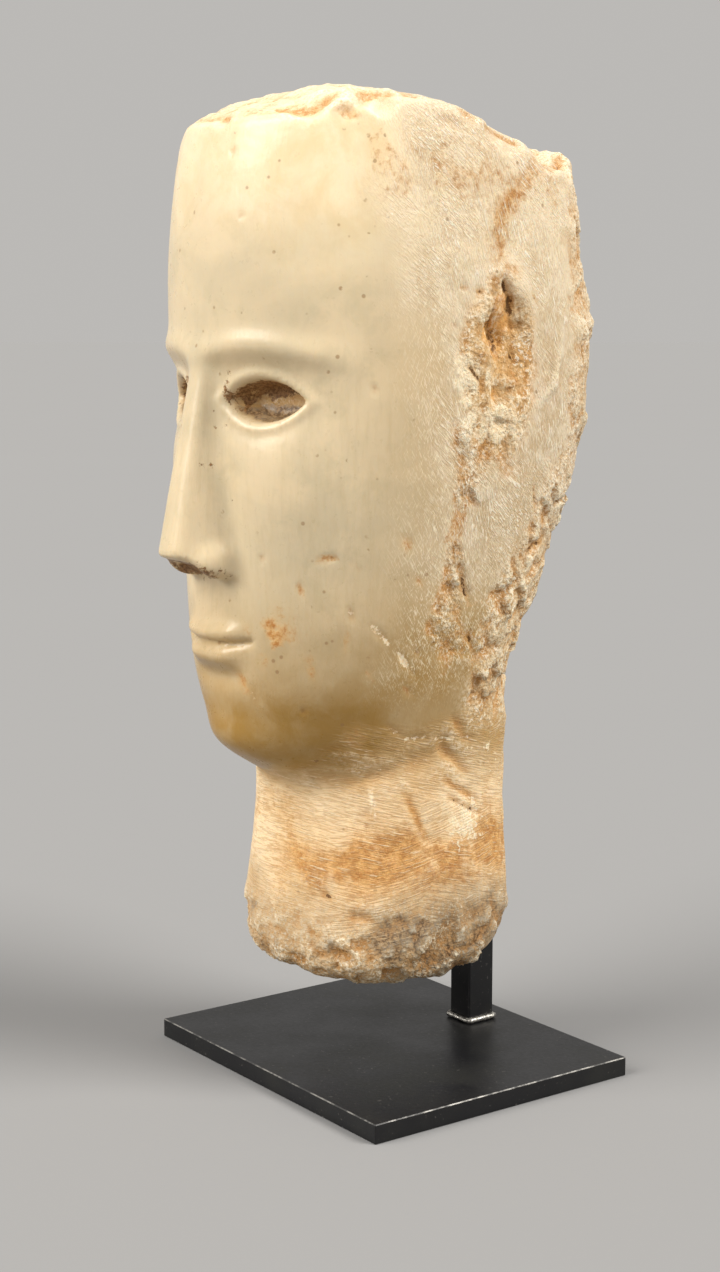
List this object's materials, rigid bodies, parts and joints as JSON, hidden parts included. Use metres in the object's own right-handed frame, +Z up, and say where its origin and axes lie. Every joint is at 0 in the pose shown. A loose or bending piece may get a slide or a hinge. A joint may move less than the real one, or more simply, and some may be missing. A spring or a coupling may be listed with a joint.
{
  "type": "stone head sculpture on stand",
  "caption": "Weathered alabaster head with a long neck, hollow eyes and a broken ear, standing on a small black steel plate and post.",
  "frame": {"origin": "centre of the base plate's underside", "axes": "+Z up, -Y the way the face looks, +X the figure's left"},
  "size_m": [0.118, 0.1419, 0.302],
  "materials": {
    "alabaster": "worn polish, rough where broken",
    "black_steel": "satin black"
  },
  "bodies": {
    "root": {"alabaster_head": "alabaster", "base_plate": "black_steel", "stand_post": "black_steel", "neck_rest": "black_steel"}
  },
  "joints": []
}
